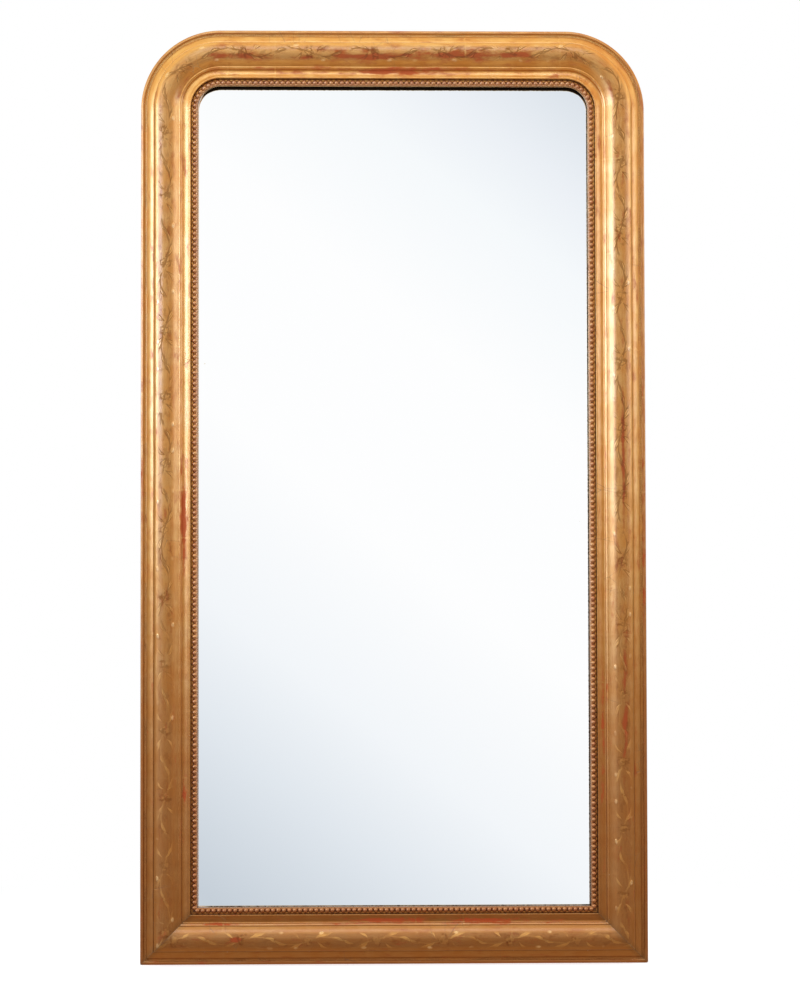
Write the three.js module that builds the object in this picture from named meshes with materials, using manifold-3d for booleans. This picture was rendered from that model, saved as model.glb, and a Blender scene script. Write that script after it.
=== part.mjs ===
// A tall gilded pier mirror: a moulded frame with rounded upper corners and mitred lower
// ones, a row of pearls round the glass, and a boarded pine back with two hanging rings.
// Millimetres, +Z up. The glass faces -Y, and the flat back that lies on the wall faces +Y.
// The origin is the middle of the box's floor. Left and right are the viewer's, in front.
//
// A frame's section is drawn in two numbers: u, how far in from the frame's outer edge,
// and h, how far out from the wall. y is DEPTH / 2 - h.
import * as THREE from 'three';
import { mergeVertices } from 'three/addons/utils/BufferGeometryUtils.js';
import Module from 'manifold-3d';

const wasm = await Module();
wasm.setup();

// ---- Driving dimensions -------------------------------------------------------------

const WIDTH = 860;
const HEIGHT = 1590;
const DEPTH = 55; // wall to the crest of the cushion
const CORNER_RADIUS = 136; // outer edge of the two upper corners
const GAP = 0.3; // between pieces that touch

// Gilded moulding, from the outer edge to the sight edge
const SEAT = 22; // where the moulding sits on the back frame
const OUTER_FILLET = { height: 27.5, width: 5.6, easing: 0.9 };
const GROOVE_HEIGHT = 26; // floor of the groove between the fillet and the bead
const BEAD = { from: 10.2, to: 23.2, base: 29.4, rake: 3.4, rise: 2.4 };
const QUIRK = { at: 23.5, height: 31.2 }; // the sunk line between the bead and the cushion
const CUSHION = { from: 23.8, crest: 43, radius: 36, to: 66.2, shoulder: 6.5 };
const UPPER_FILLET = { from: 66.5, edge: 67.6, to: 70.7, height: 47.3, fall: 1.4 };
const SCOTIA = { from: 71, low: 72.8, to: 82.8, floor: 41.5, tight: 2.4, radius: 19 };
const LOWER_FILLET = { from: 83.1, to: 85.6, height: 44.7 };
const PEARL_BED = { from: 85.9, to: 97.1, height: 35 };
const SIGHT = { from: 97.3, edge: 97.8, height: 37.6 };

// The string of pearls on its bed. neck is what is left of its width and height between
// two pearls.
const PEARL = { line: 92.2, width: 9.6, rise: 5.2, skirt: 0.9, pitch: 9.15 };
const NECK = { width: 0.55, height: 0.42 };

// Glass and what holds it
const GLASS_FRONT = 24;
const GLASS_THICKNESS = 5;
const GLASS_INSET = 88; // from the frame's outer edge to the plate's edge
const SILVERING_THICKNESS = 0.3;

// Pine back frame
const BACK_RAIL_WIDTH = 84;
const BOARD_REBATE = 70; // where the rebate for the backboards starts
const BOARD_SEAT = 10; // height of the rebate's floor, and of the top rail's back
const BLOCK_LEG = 196; // the corner blocks' reach, past the moulding's own joints
const KEY = { leg: 56, thickness: 3.4, height: 13 };

// Backboards and their nails
const BOARD_COUNT = 6;
const BOARD_THICKNESS = 7.2;
const BOARD_CHAMFER = 1.5;
const BOARD_JOINT = 0.6;
const NAIL = { inset: 77, rise: 150, shank: 1, head: 2.5, headHeight: 1.1, tip: 19 };
const NAIL_HOLE = { radius: 1.25, bottom: 19.5 };

// Glazing blocks
const GLAZING = { length: 60, width: 20, bevel: 6, toe: 2 };
const SIDE_BLOCK_HEIGHTS = [300, 790, 1260];
const END_BLOCK_OFFSET = 190;

// Hanging rings
const HANGER = { offset: 150, drop: 30 }; // from the middle, and below the top edge
const PLATE = { width: 20, height: 40, thickness: 1.6 };
const KNUCKLE = { bore: 2.8, outer: 4.4, length: 7 };
const RING = { radius: 13, wire: 2 };
const SCREW = { head: 3.2, shank: 1.6, tip: 20.5, clearance: 0.25 };
const SCREW_DROPS = [13, 33]; // below the ring's axis

// Facets
const CORNER_STEPS = 14;
const CUSHION_STEPS = 12;
const SMALL_ARC_STEPS = 6;
const ROUND_SIDES = 12;
const NAIL_SIDES = 8;
const RING_STEPS = 28;
const WIRE_SIDES = 10;

const HALF = WIDTH / 2;
const CORNER_X = HALF - CORNER_RADIUS;
const CORNER_Z = HEIGHT - CORNER_RADIUS;
const RIGHT_ANGLE = Math.PI / 2;

// ---- Materials ----------------------------------------------------------------------

const material = (color, roughness, metalness) =>
  new THREE.MeshStandardMaterial({ color, roughness, metalness });

const gilding = () => material(0xc8914a, 0.35, 0.8);
const pearlGilding = () => material(0xb5835a, 0.45, 0.7);
const silveredGlass = () => material(0xe9eef2, 0.03, 1);
const tinFoil = () => material(0x9aa0a3, 0.5, 0.8);
const oldPine = () => material(0x8a6541, 0.85, 0);
const oak = () => material(0x6f4c2b, 0.8, 0);
const oldIron = () => material(0x3b3733, 0.6, 0.9);

// ---- Geometry helpers ---------------------------------------------------------------

function signedVolume(geometry) {
  const flat = geometry.index ? geometry.toNonIndexed() : geometry;
  const points = flat.getAttribute('position');
  const [a, b, c] = [new THREE.Vector3(), new THREE.Vector3(), new THREE.Vector3()];
  let volume = 0;
  for (let i = 0; i < points.count; i += 3) {
    a.fromBufferAttribute(points, i);
    b.fromBufferAttribute(points, i + 1);
    c.fromBufferAttribute(points, i + 2);
    volume += a.dot(b.cross(c)) / 6;
  }
  return volume;
}

// One closed skin with shared corners and its faces pointing out.
function closed(geometry) {
  geometry.deleteAttribute('normal');
  geometry.deleteAttribute('uv');
  const merged = mergeVertices(geometry, 1e-4);
  if (signedVolume(merged) < 0) merged.index.array.reverse();
  return merged;
}

function toSolid(geometry) {
  const skin = closed(geometry);
  const vertProperties = new Float32Array(skin.getAttribute('position').array);
  const triVerts = new Uint32Array(skin.index.array);
  return new wasm.Manifold(new wasm.Mesh({ numProp: 3, vertProperties, triVerts }));
}

function toGeometry(solid) {
  const { vertProperties, triVerts } = solid.getMesh();
  const geometry = new THREE.BufferGeometry();
  geometry.setAttribute('position', new THREE.BufferAttribute(vertProperties, 3));
  geometry.setIndex(new THREE.BufferAttribute(triVerts, 1));
  return geometry;
}

function cut(geometry, ...tools) {
  const solid = tools.reduce((rest, tool) => rest.subtract(toSolid(tool)), toSolid(geometry));
  return toGeometry(solid);
}

const shapeOf = (points) =>
  new THREE.Shape(points.map(([x, y]) => new THREE.Vector2(x, y)));

// A flat piece: its outline in X and Z, between two heights above the wall.
function slab(shape, low, high, curveSegments = CORNER_STEPS) {
  const options = { depth: high - low, bevelEnabled: false, curveSegments };
  return new THREE.ExtrudeGeometry(shape, options).rotateX(RIGHT_ANGLE).translate(0, -low, 0);
}

function box([x0, x1], [low, high], [z0, z1]) {
  return new THREE.BoxGeometry(x1 - x0, high - low, z1 - z0)
    .translate((x0 + x1) / 2, -(low + high) / 2, (z0 + z1) / 2);
}

// A section of [u, h] points carried along a run of the frame. Each station gives the
// distance along the run for a point's u, so that an end can be square or mitred. change
// may alter the section from one station to the next.
function sweep(section, stations, place, change = (i, u, h) => [u, h]) {
  const steps = stations.length - 1;
  const options = { depth: steps, steps, bevelEnabled: false };
  const geometry = new THREE.ExtrudeGeometry(shapeOf(section), options);
  const points = geometry.getAttribute('position');
  for (let i = 0; i < points.count; i += 1) {
    const station = Math.round(points.getZ(i));
    const [u, h] = change(station, points.getX(i), points.getY(i));
    points.setXYZ(i, ...place(stations[station](u), u, h));
  }
  return geometry;
}

// A turned piece that points at the viewer: [radius, h] points round the Y axis.
function turned(profile, sides) {
  const points = profile.map(([radius, h]) => new THREE.Vector2(radius, -h));
  return new THREE.LatheGeometry(points, sides);
}

// A row of count + 1 points where x = f(angle) and y = g(angle) over a stretch of angle.
function arc(count, from, to, point) {
  return Array.from({ length: count + 1 }, (_, i) => point(from + ((to - from) * i) / count));
}

// ---- The runs of the frame ----------------------------------------------------------

const onBottom = (along, u, h) => [along, -h, u];
const onTop = (along, u, h) => [along, -h, HEIGHT - u];
const onLeft = (along, u, h) => [-HALF + u, -h, along];
const onRight = (along, u, h) => [HALF - u, -h, along];
const roundCorner = (side) => (angle, u, h) => {
  const radius = CORNER_RADIUS - u;
  const x = side * (CORNER_X + radius * Math.cos(angle));
  return [x, -h, CORNER_Z + radius * Math.sin(angle)];
};

const cornerStations = Array.from({ length: CORNER_STEPS + 1 }, (_, i) => {
  const angle = (RIGHT_ANGLE * i) / CORNER_STEPS;
  return () => angle;
});
const bottomStations = [(u) => -HALF + u + GAP, (u) => HALF - u - GAP];
const sideStations = [(u) => u + GAP, () => CORNER_Z - GAP];
const topStations = [() => -CORNER_X + GAP, () => CORNER_X - GAP];

const RUNS = [
  { name: 'bottom_rail', short: 'bottom', stations: bottomStations, place: onBottom },
  { name: 'left_stile', short: 'left', stations: sideStations, place: onLeft },
  { name: 'right_stile', short: 'right', stations: sideStations, place: onRight },
  { name: 'top_rail', short: 'top', stations: topStations, place: onTop },
  {
    name: 'top_left_corner',
    short: 'top_left',
    stations: cornerStations,
    place: roundCorner(-1),
  },
  {
    name: 'top_right_corner',
    short: 'top_right',
    stations: cornerStations,
    place: roundCorner(1),
  },
];

// ---- Gilded moulding ----------------------------------------------------------------

// A round that leans outward: it climbs slowly and falls away fast beside the cushion.
function beadPoints() {
  const middle = (BEAD.from + BEAD.to) / 2;
  const half = (BEAD.to - BEAD.from) / 2;
  return arc(SMALL_ARC_STEPS + 2, Math.PI, 0, (angle) => [
    middle + half * Math.cos(angle),
    BEAD.base + BEAD.rake * Math.cos(angle) + BEAD.rise * Math.sin(angle),
  ]);
}

// A shoulder turns from the upright outer wall into the broad round of the cushion.
function cushionPoints() {
  const { from, crest, radius, to, shoulder } = CUSHION;
  const tilt = Math.asin((crest - from - shoulder) / (radius - shoulder));
  const centre = DEPTH - radius;
  const shoulderU = crest - (radius - shoulder) * Math.sin(tilt);
  const shoulderH = centre + (radius - shoulder) * Math.cos(tilt);
  const round = arc(SMALL_ARC_STEPS - 2, RIGHT_ANGLE, tilt, (angle) => [
    shoulderU - shoulder * Math.sin(angle),
    shoulderH + shoulder * Math.cos(angle),
  ]);
  const broad = arc(CUSHION_STEPS, -tilt, Math.asin((to - crest) / radius), (angle) => [
    crest + radius * Math.sin(angle),
    centre + radius * Math.cos(angle),
  ]);
  return [...round, ...broad.slice(1)];
}

// A hollow that is deepest beside the upper fillet and climbs slowly to the lower one.
function scotiaPoints() {
  const { from, low, to, floor, tight, radius } = SCOTIA;
  const hollow = (size) => (angle) => [
    low + size * Math.sin(angle),
    floor + size * (1 - Math.cos(angle)),
  ];
  const near = arc(SMALL_ARC_STEPS / 2, -Math.asin((low - from) / tight), 0, hollow(tight));
  const far = arc(SMALL_ARC_STEPS, 0, Math.asin((to - low) / radius), hollow(radius));
  return [...near, ...far.slice(1)];
}

function mouldingSection() {
  const { height, width, easing } = OUTER_FILLET;
  return [
    [0, SEAT + GAP],
    [0, height - easing],
    [easing, height],
    [width, height],
    [width + easing / 2, GROOVE_HEIGHT],
    ...beadPoints(),
    [QUIRK.at, QUIRK.height],
    ...cushionPoints(),
    [UPPER_FILLET.from, UPPER_FILLET.height],
    [UPPER_FILLET.edge, UPPER_FILLET.height],
    [UPPER_FILLET.to, UPPER_FILLET.height - UPPER_FILLET.fall],
    ...scotiaPoints(),
    [LOWER_FILLET.from, LOWER_FILLET.height],
    [LOWER_FILLET.to, LOWER_FILLET.height],
    [PEARL_BED.from, PEARL_BED.height],
    [PEARL_BED.to, PEARL_BED.height],
    [SIGHT.from, SIGHT.height],
    [SIGHT.edge, SIGHT.height],
    [SIGHT.edge, GLASS_FRONT + GAP],
    [BACK_RAIL_WIDTH, GLASS_FRONT + GAP],
    [BACK_RAIL_WIDTH, SEAT + GAP],
  ];
}

// ---- String of pearls ---------------------------------------------------------------

const PEARL_BASE = PEARL_BED.height + GAP;

// A half-oval on a low skirt: the section through the middle of a pearl.
function pearlSection() {
  const half = PEARL.width / 2;
  const skirt = PEARL_BASE + PEARL.skirt;
  const round = arc(SMALL_ARC_STEPS - 2, Math.PI, 0, (angle) => [
    PEARL.line + half * Math.cos(angle),
    skirt + PEARL.rise * Math.sin(angle),
  ]);
  return [[PEARL.line - half, PEARL_BASE], ...round, [PEARL.line + half, PEARL_BASE]];
}

// Even stations are the necks between pearls, and odd ones the pearls' middles.
function pinched(station, u, h) {
  if (station % 2 === 1) return [u, h];
  return [
    PEARL.line + (u - PEARL.line) * NECK.width,
    PEARL_BASE + (h - PEARL_BASE) * NECK.height,
  ];
}

function lengthAt(u, stations, place) {
  const points = stations.map((station) => new THREE.Vector3(...place(station(u), u, 0)));
  return points.slice(1).reduce((sum, point, i) => sum + point.distanceTo(points[i]), 0);
}

function stringOfPearls(stations, place) {
  const first = stations[0];
  const last = stations.at(-1);
  const count = Math.round(lengthAt(PEARL.line, stations, place) / PEARL.pitch);
  const between = arc(2 * count, 0, 1, (share) => (u) => first(u) + share * (last(u) - first(u)));
  return sweep(pearlSection(), between, place, pinched);
}

// ---- Pine back frame ----------------------------------------------------------------

const boardRebate = () =>
  box(
    [-HALF + BOARD_REBATE, HALF - BOARD_REBATE],
    [-1, BOARD_SEAT],
    [BOARD_REBATE, HEIGHT - BOARD_REBATE],
  );

// The triangle of a mitre key at a lower corner: its two legs lie inset from the frame's
// edges, and its long side cuts leg + grow off both of them.
function keyShape(side, inset, grow) {
  const near = HALF - inset;
  const far = KEY.leg + grow - inset;
  return shapeOf([
    [side * near, inset],
    [side * (HALF - far), inset],
    [side * near, far],
  ]);
}

function keySlot(side) {
  const half = KEY.thickness / 2 + GAP;
  return slab(keyShape(side, -1, GAP), KEY.height - half, KEY.height + half);
}

function mitreKey(side) {
  const half = KEY.thickness / 2;
  return slab(keyShape(side, 0.5, -GAP), KEY.height - half, KEY.height + half);
}

function bottomBackRail() {
  const outline = shapeOf([
    [-HALF + GAP, 0],
    [HALF - GAP, 0],
    [HALF - BACK_RAIL_WIDTH - GAP, BACK_RAIL_WIDTH],
    [-HALF + BACK_RAIL_WIDTH + GAP, BACK_RAIL_WIDTH],
  ]);
  return cut(slab(outline, 0, SEAT), boardRebate(), keySlot(-1), keySlot(1));
}

function backStile(side) {
  const top = HEIGHT - BLOCK_LEG - GAP;
  const outline = shapeOf([
    [side * HALF, GAP],
    [side * HALF, top],
    [side * (HALF - BACK_RAIL_WIDTH), top],
    [side * (HALF - BACK_RAIL_WIDTH), BACK_RAIL_WIDTH + GAP],
  ]);
  const nailHoles = boardBottoms()
    .map((bottom) => bottom + NAIL.rise)
    .filter((z) => z < top)
    .map((z) => nailHole(side, z));
  return cut(slab(outline, 0, SEAT), boardRebate(), keySlot(side), ...nailHoles);
}

const topBackRail = () =>
  box(
    [-HALF + BLOCK_LEG + GAP, HALF - BLOCK_LEG - GAP],
    [BOARD_SEAT, SEAT],
    [HEIGHT - BACK_RAIL_WIDTH, HEIGHT],
  );

function cornerBlock(side) {
  const inner = BACK_RAIL_WIDTH;
  const shape = new THREE.Shape();
  shape.moveTo(-HALF, HEIGHT - BLOCK_LEG);
  shape.lineTo(-HALF, CORNER_Z);
  shape.absarc(-CORNER_X, CORNER_Z, CORNER_RADIUS, Math.PI, RIGHT_ANGLE, true);
  shape.lineTo(-HALF + BLOCK_LEG, HEIGHT);
  shape.lineTo(-HALF + BLOCK_LEG, HEIGHT - inner);
  shape.lineTo(-CORNER_X, HEIGHT - inner);
  shape.absarc(-CORNER_X, CORNER_Z, CORNER_RADIUS - inner, RIGHT_ANGLE, Math.PI, false);
  shape.lineTo(-HALF + inner, HEIGHT - BLOCK_LEG);
  const block = slab(shape, 0, SEAT);
  if (side > 0) block.scale(-1, 1, 1);
  return cut(block, boardRebate(), nailHole(side, boardBottoms().at(-1) + NAIL.rise));
}

// ---- Glass, silvering and glazing blocks --------------------------------------------

function plateShape(inset) {
  const edge = HALF - inset;
  const round = CORNER_RADIUS - inset;
  const shape = new THREE.Shape();
  shape.moveTo(-edge, inset);
  shape.lineTo(edge, inset);
  shape.lineTo(edge, CORNER_Z);
  shape.absarc(CORNER_X, CORNER_Z, round, 0, RIGHT_ANGLE, false);
  shape.lineTo(-CORNER_X, HEIGHT - inset);
  shape.absarc(-CORNER_X, CORNER_Z, round, RIGHT_ANGLE, Math.PI, false);
  return shape;
}

const GLASS_BACK = GLASS_FRONT - GLASS_THICKNESS;

const glassPlate = () => slab(plateShape(GLASS_INSET), GLASS_BACK, GLASS_FRONT);

function silvering() {
  const front = GLASS_BACK - GAP;
  return slab(plateShape(GLASS_INSET + 3), front - SILVERING_THICKNESS, front);
}

function glazingSection() {
  const wall = BACK_RAIL_WIDTH + GAP;
  const front = GLASS_BACK - 3 * GAP;
  const back = BOARD_SEAT + GAP;
  return [
    [wall, back],
    [wall, front],
    [wall + GLAZING.width, front],
    [wall + GLAZING.width, front - GLAZING.toe],
    [wall + GLAZING.bevel, back],
  ];
}

function glazingBlock(middle, place) {
  const ends = [middle - GLAZING.length / 2, middle + GLAZING.length / 2];
  const stations = ends.map((end) => () => end);
  return sweep(glazingSection(), stations, place);
}

// ---- Backboards ---------------------------------------------------------------------

const BOARDS_LOW = BOARD_REBATE + BOARD_JOINT;
const BOARD_PITCH = (HEIGHT - 2 * BOARDS_LOW + BOARD_JOINT) / BOARD_COUNT;
const BOARD_BACK = BOARD_SEAT - GAP - BOARD_THICKNESS;

function boardBottoms() {
  return Array.from({ length: BOARD_COUNT }, (_, i) => BOARDS_LOW + i * BOARD_PITCH);
}

// A hole round a nail, from behind the boards to just past its tip.
function nailHole(side, z) {
  const section = [
    [0, -1],
    [NAIL_HOLE.radius, -1],
    [NAIL_HOLE.radius, NAIL_HOLE.bottom],
    [0, NAIL_HOLE.bottom],
  ];
  return turned(section, NAIL_SIDES).translate(side * (HALF - NAIL.inset), 0, z);
}

// A board with the edges of its back eased.
function backboard(bottom) {
  const top = bottom + BOARD_PITCH - BOARD_JOINT;
  const front = BOARD_SEAT - GAP;
  const section = [
    [bottom, front],
    [bottom, BOARD_BACK + BOARD_CHAMFER],
    [bottom + BOARD_CHAMFER, BOARD_BACK],
    [top - BOARD_CHAMFER, BOARD_BACK],
    [top, BOARD_BACK + BOARD_CHAMFER],
    [top, front],
  ];
  const end = HALF - BOARD_REBATE - BOARD_JOINT;
  const board = sweep(section, [() => -end, () => end], (along, z, h) => [along, -h, z]);
  const z = bottom + NAIL.rise;
  return cut(board, nailHole(-1, z), nailHole(1, z));
}

function nail() {
  const under = BOARD_BACK - GAP / 2;
  const back = under - NAIL.headHeight;
  const section = [
    [0, back],
    [NAIL.head * 0.7, back],
    [NAIL.head, back + NAIL.headHeight / 2],
    [NAIL.head, under],
    [NAIL.shank, under],
    [NAIL.shank, NAIL.tip - 3],
    [0, NAIL.tip],
  ];
  return turned(section, NAIL_SIDES);
}

// ---- Hanging rings ------------------------------------------------------------------

// A hanger's own origin is on its ring's axis, at the wall.
const PLATE_BACK = BOARD_SEAT - GAP;
const PLATE_FRONT = PLATE_BACK - PLATE.thickness;
const AXIS_HEIGHT = PLATE_BACK - KNUCKLE.outer;

function alongX(radius, length) {
  const bar = new THREE.CylinderGeometry(radius, radius, length, 2 * ROUND_SIDES);
  return bar.rotateZ(RIGHT_ANGLE).translate(0, -AXIS_HEIGHT, 0);
}

function screwHole(drop) {
  const { head, shank, clearance } = SCREW;
  const section = [
    [0, PLATE_FRONT - 1],
    [head + clearance, PLATE_FRONT - 1],
    [head + clearance, PLATE_FRONT],
    [shank + clearance, PLATE_BACK],
    [shank + clearance, SCREW.tip + 0.5],
    [0, SCREW.tip + 0.5],
  ];
  return turned(section, ROUND_SIDES).translate(0, 0, -drop);
}

// The iron plate, its top rolled into the knuckle that the ring hangs in.
function hangerPlate() {
  const half = PLATE.width / 2;
  const strap = box([-half, half], [PLATE_FRONT, PLATE_BACK], [-PLATE.height, 0]);
  const rolled = toSolid(strap).add(toSolid(alongX(KNUCKLE.outer, KNUCKLE.length)));
  const bored = rolled.subtract(toSolid(alongX(KNUCKLE.bore, 4 * KNUCKLE.length)));
  return cut(toGeometry(bored), ...SCREW_DROPS.map(screwHole));
}

// The ring hangs straight down from the knuckle.
function hangingRing() {
  return new THREE.TorusGeometry(RING.radius, RING.wire, WIRE_SIDES, RING_STEPS)
    .rotateX(RIGHT_ANGLE)
    .translate(0, -AXIS_HEIGHT, -RING.radius);
}

function screw() {
  const { head, shank, tip } = SCREW;
  const section = [
    [0, PLATE_FRONT],
    [head, PLATE_FRONT],
    [shank, PLATE_BACK],
    [shank, tip - 4],
    [0, tip],
  ];
  return turned(section, ROUND_SIDES);
}

// ---- Assembly -----------------------------------------------------------------------

function piece(name, geometry, finish) {
  const mesh = new THREE.Mesh(closed(geometry), finish);
  mesh.name = name;
  return mesh;
}

function frontFrame() {
  const group = new THREE.Group();
  for (const { name, short, stations, place } of RUNS) {
    const moulding = sweep(mouldingSection(), stations, place);
    const pearls = stringOfPearls(stations, place);
    group.add(piece(`${name}_moulding`, moulding, gilding()));
    group.add(piece(`${short}_pearls`, pearls, pearlGilding()));
  }
  return group;
}

function backFrame() {
  const group = new THREE.Group();
  group.add(piece('bottom_back_rail', bottomBackRail(), oldPine()));
  group.add(piece('top_back_rail', drilledTopRail(), oldPine()));
  for (const [name, side] of [['left', -1], ['right', 1]]) {
    group.add(piece(`${name}_back_stile`, backStile(side), oldPine()));
    group.add(piece(`top_${name}_corner_block`, cornerBlock(side), oldPine()));
    group.add(piece(`${name}_mitre_key`, mitreKey(side), oak()));
  }
  return group;
}

function drilledTopRail() {
  const holes = [];
  for (const side of [-1, 1]) {
    for (const drop of SCREW_DROPS) {
      const hole = screwHole(drop);
      holes.push(hole.translate(side * HANGER.offset, 0, HEIGHT - HANGER.drop));
    }
  }
  return cut(topBackRail(), ...holes);
}

function glazing() {
  const group = new THREE.Group();
  group.add(piece('mirror_glass', glassPlate(), silveredGlass()));
  group.add(piece('silvering', silvering(), tinFoil()));
  SIDE_BLOCK_HEIGHTS.forEach((z, i) => {
    group.add(piece(`left_glazing_block_${i + 1}`, glazingBlock(z, onLeft), oldPine()));
    group.add(piece(`right_glazing_block_${i + 1}`, glazingBlock(z, onRight), oldPine()));
  });
  [-END_BLOCK_OFFSET, END_BLOCK_OFFSET].forEach((x, i) => {
    group.add(piece(`bottom_glazing_block_${i + 1}`, glazingBlock(x, onBottom), oldPine()));
    group.add(piece(`top_glazing_block_${i + 1}`, glazingBlock(x, onTop), oldPine()));
  });
  return group;
}

function boardedBack() {
  const group = new THREE.Group();
  boardBottoms().forEach((bottom, i) => {
    group.add(piece(`backboard_${i + 1}`, backboard(bottom), oldPine()));
    for (const [name, side] of [['left', -1], ['right', 1]]) {
      const fastener = piece(`${name}_backboard_nail_${i + 1}`, nail(), oldIron());
      fastener.position.set(side * (HALF - NAIL.inset), 0, bottom + NAIL.rise);
      group.add(fastener);
    }
  });
  return group;
}

function hanger(name) {
  const group = new THREE.Group();
  group.add(piece(`${name}_hanger_plate`, hangerPlate(), oldIron()));
  group.add(piece(`${name}_hanging_ring`, hangingRing(), oldIron()));
  SCREW_DROPS.forEach((drop, i) => {
    const fastener = piece(`${name}_hanger_screw_${i + 1}`, screw(), oldIron());
    fastener.position.z = -drop;
    group.add(fastener);
  });
  return group;
}

function hangers() {
  const group = new THREE.Group();
  for (const [name, side] of [['left', -1], ['right', 1]]) {
    const set = hanger(name);
    set.position.set(side * HANGER.offset, 0, HEIGHT - HANGER.drop);
    group.add(set);
  }
  return group;
}

const pierMirror = new THREE.Group();
pierMirror.add(frontFrame(), backFrame(), glazing(), boardedBack(), hangers());
pierMirror.position.y = DEPTH / 2;

export default pierMirror;
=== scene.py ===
"""A gilded pier mirror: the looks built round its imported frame."""
import math
from types import SimpleNamespace

import bmesh
import bpy
import numpy as np
from mathutils import Matrix, Vector


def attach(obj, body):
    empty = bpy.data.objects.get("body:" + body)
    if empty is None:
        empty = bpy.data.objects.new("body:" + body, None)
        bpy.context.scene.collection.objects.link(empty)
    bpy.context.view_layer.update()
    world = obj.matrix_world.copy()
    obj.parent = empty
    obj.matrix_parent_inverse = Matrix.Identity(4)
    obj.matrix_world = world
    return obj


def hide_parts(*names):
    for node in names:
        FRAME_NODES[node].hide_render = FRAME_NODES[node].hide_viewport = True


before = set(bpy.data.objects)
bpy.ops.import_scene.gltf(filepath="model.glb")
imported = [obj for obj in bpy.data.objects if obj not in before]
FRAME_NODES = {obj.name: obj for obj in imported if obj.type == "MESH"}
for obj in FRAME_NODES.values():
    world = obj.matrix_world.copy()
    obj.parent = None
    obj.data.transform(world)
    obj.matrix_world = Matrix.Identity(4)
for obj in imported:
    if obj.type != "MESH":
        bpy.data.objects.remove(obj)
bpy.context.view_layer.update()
MM = 0.001

# ---- The frame's dimensions, in millimetres -------------------------------------------

WIDTH = 860
HEIGHT = 1590
DEPTH = 55
HALF = WIDTH / 2
CORNER_RADIUS = 136
CORNER_X = HALF - CORNER_RADIUS
CORNER_Z = HEIGHT - CORNER_RADIUS
GAP = 0.3
SEAT = 22
SIGHT_EDGE = 97.8
GLASS_FRONT = 24
GROOVE_HEIGHT = 26
BEAD = {"from": 10.2, "to": 23.2, "base": 29.4, "rake": 3.4, "rise": 2.4}
CUSHION = {"from": 23.8, "crest": 43, "radius": 36, "to": 66.2, "shoulder": 6.5}
SCOTIA = {"from": 71, "floor": 41.5, "low": 72.8, "to": 82.8, "radius": 19, "tight": 2.4}
LOWER_FILLET = 44.7
CREST = CUSHION["crest"]
PEARL_LINE = 92.2
PEARL_BED = 35.3
PEARL_PITCH = 9.15
PEARL_TOP = 41.3

# ---- Distances along the frame, up the left, over the top and down the right, in mm ---

LEAF = 81.0
LEAF_PHASE = 72.9
SPRIG_PITCH = 113.0
CORNER_RUN = (CORNER_RADIUS - CREST) * math.pi / 2
TOP_START = CORNER_Z + CORNER_RUN
TOP_END = TOP_START + 2 * CORNER_X
RIGHT_START = TOP_END + CORNER_RUN
BOTTOM_MIDDLE = 5059.9


def srgb(red, green, blue):
    """A linear colour from 0 to 255 screen values."""
    linear = [((v / 255 + 0.055) / 1.055) ** 2.4 for v in (red, green, blue)]
    return (*linear, 1.0)


# ---- Node trees -----------------------------------------------------------------------

class Value:
    """A number on a surface, with the usual arithmetic."""

    def __init__(self, graph, socket):
        self.graph = graph
        self.socket = socket

    def __add__(self, other):
        return self.graph.math("ADD", self, other)

    def __sub__(self, other):
        return self.graph.math("SUBTRACT", self, other)

    def __rsub__(self, other):
        return self.graph.math("SUBTRACT", other, self)

    def __mul__(self, other):
        return self.graph.math("MULTIPLY", self, other)

    def __truediv__(self, other):
        return self.graph.math("DIVIDE", self, other)

    def __abs__(self):
        return self.graph.math("ABSOLUTE", self)

    __radd__ = __add__
    __rmul__ = __mul__

    def most(self, other):
        return self.graph.math("MAXIMUM", self, other)

    def least(self, other):
        return self.graph.math("MINIMUM", self, other)

    def fraction(self):
        return self.graph.math("FRACT", self)

    def step(self, low, high):
        """0 at low, 1 at high, and smooth between. low may be the larger."""
        return self.graph.step(self, low, high)


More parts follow.
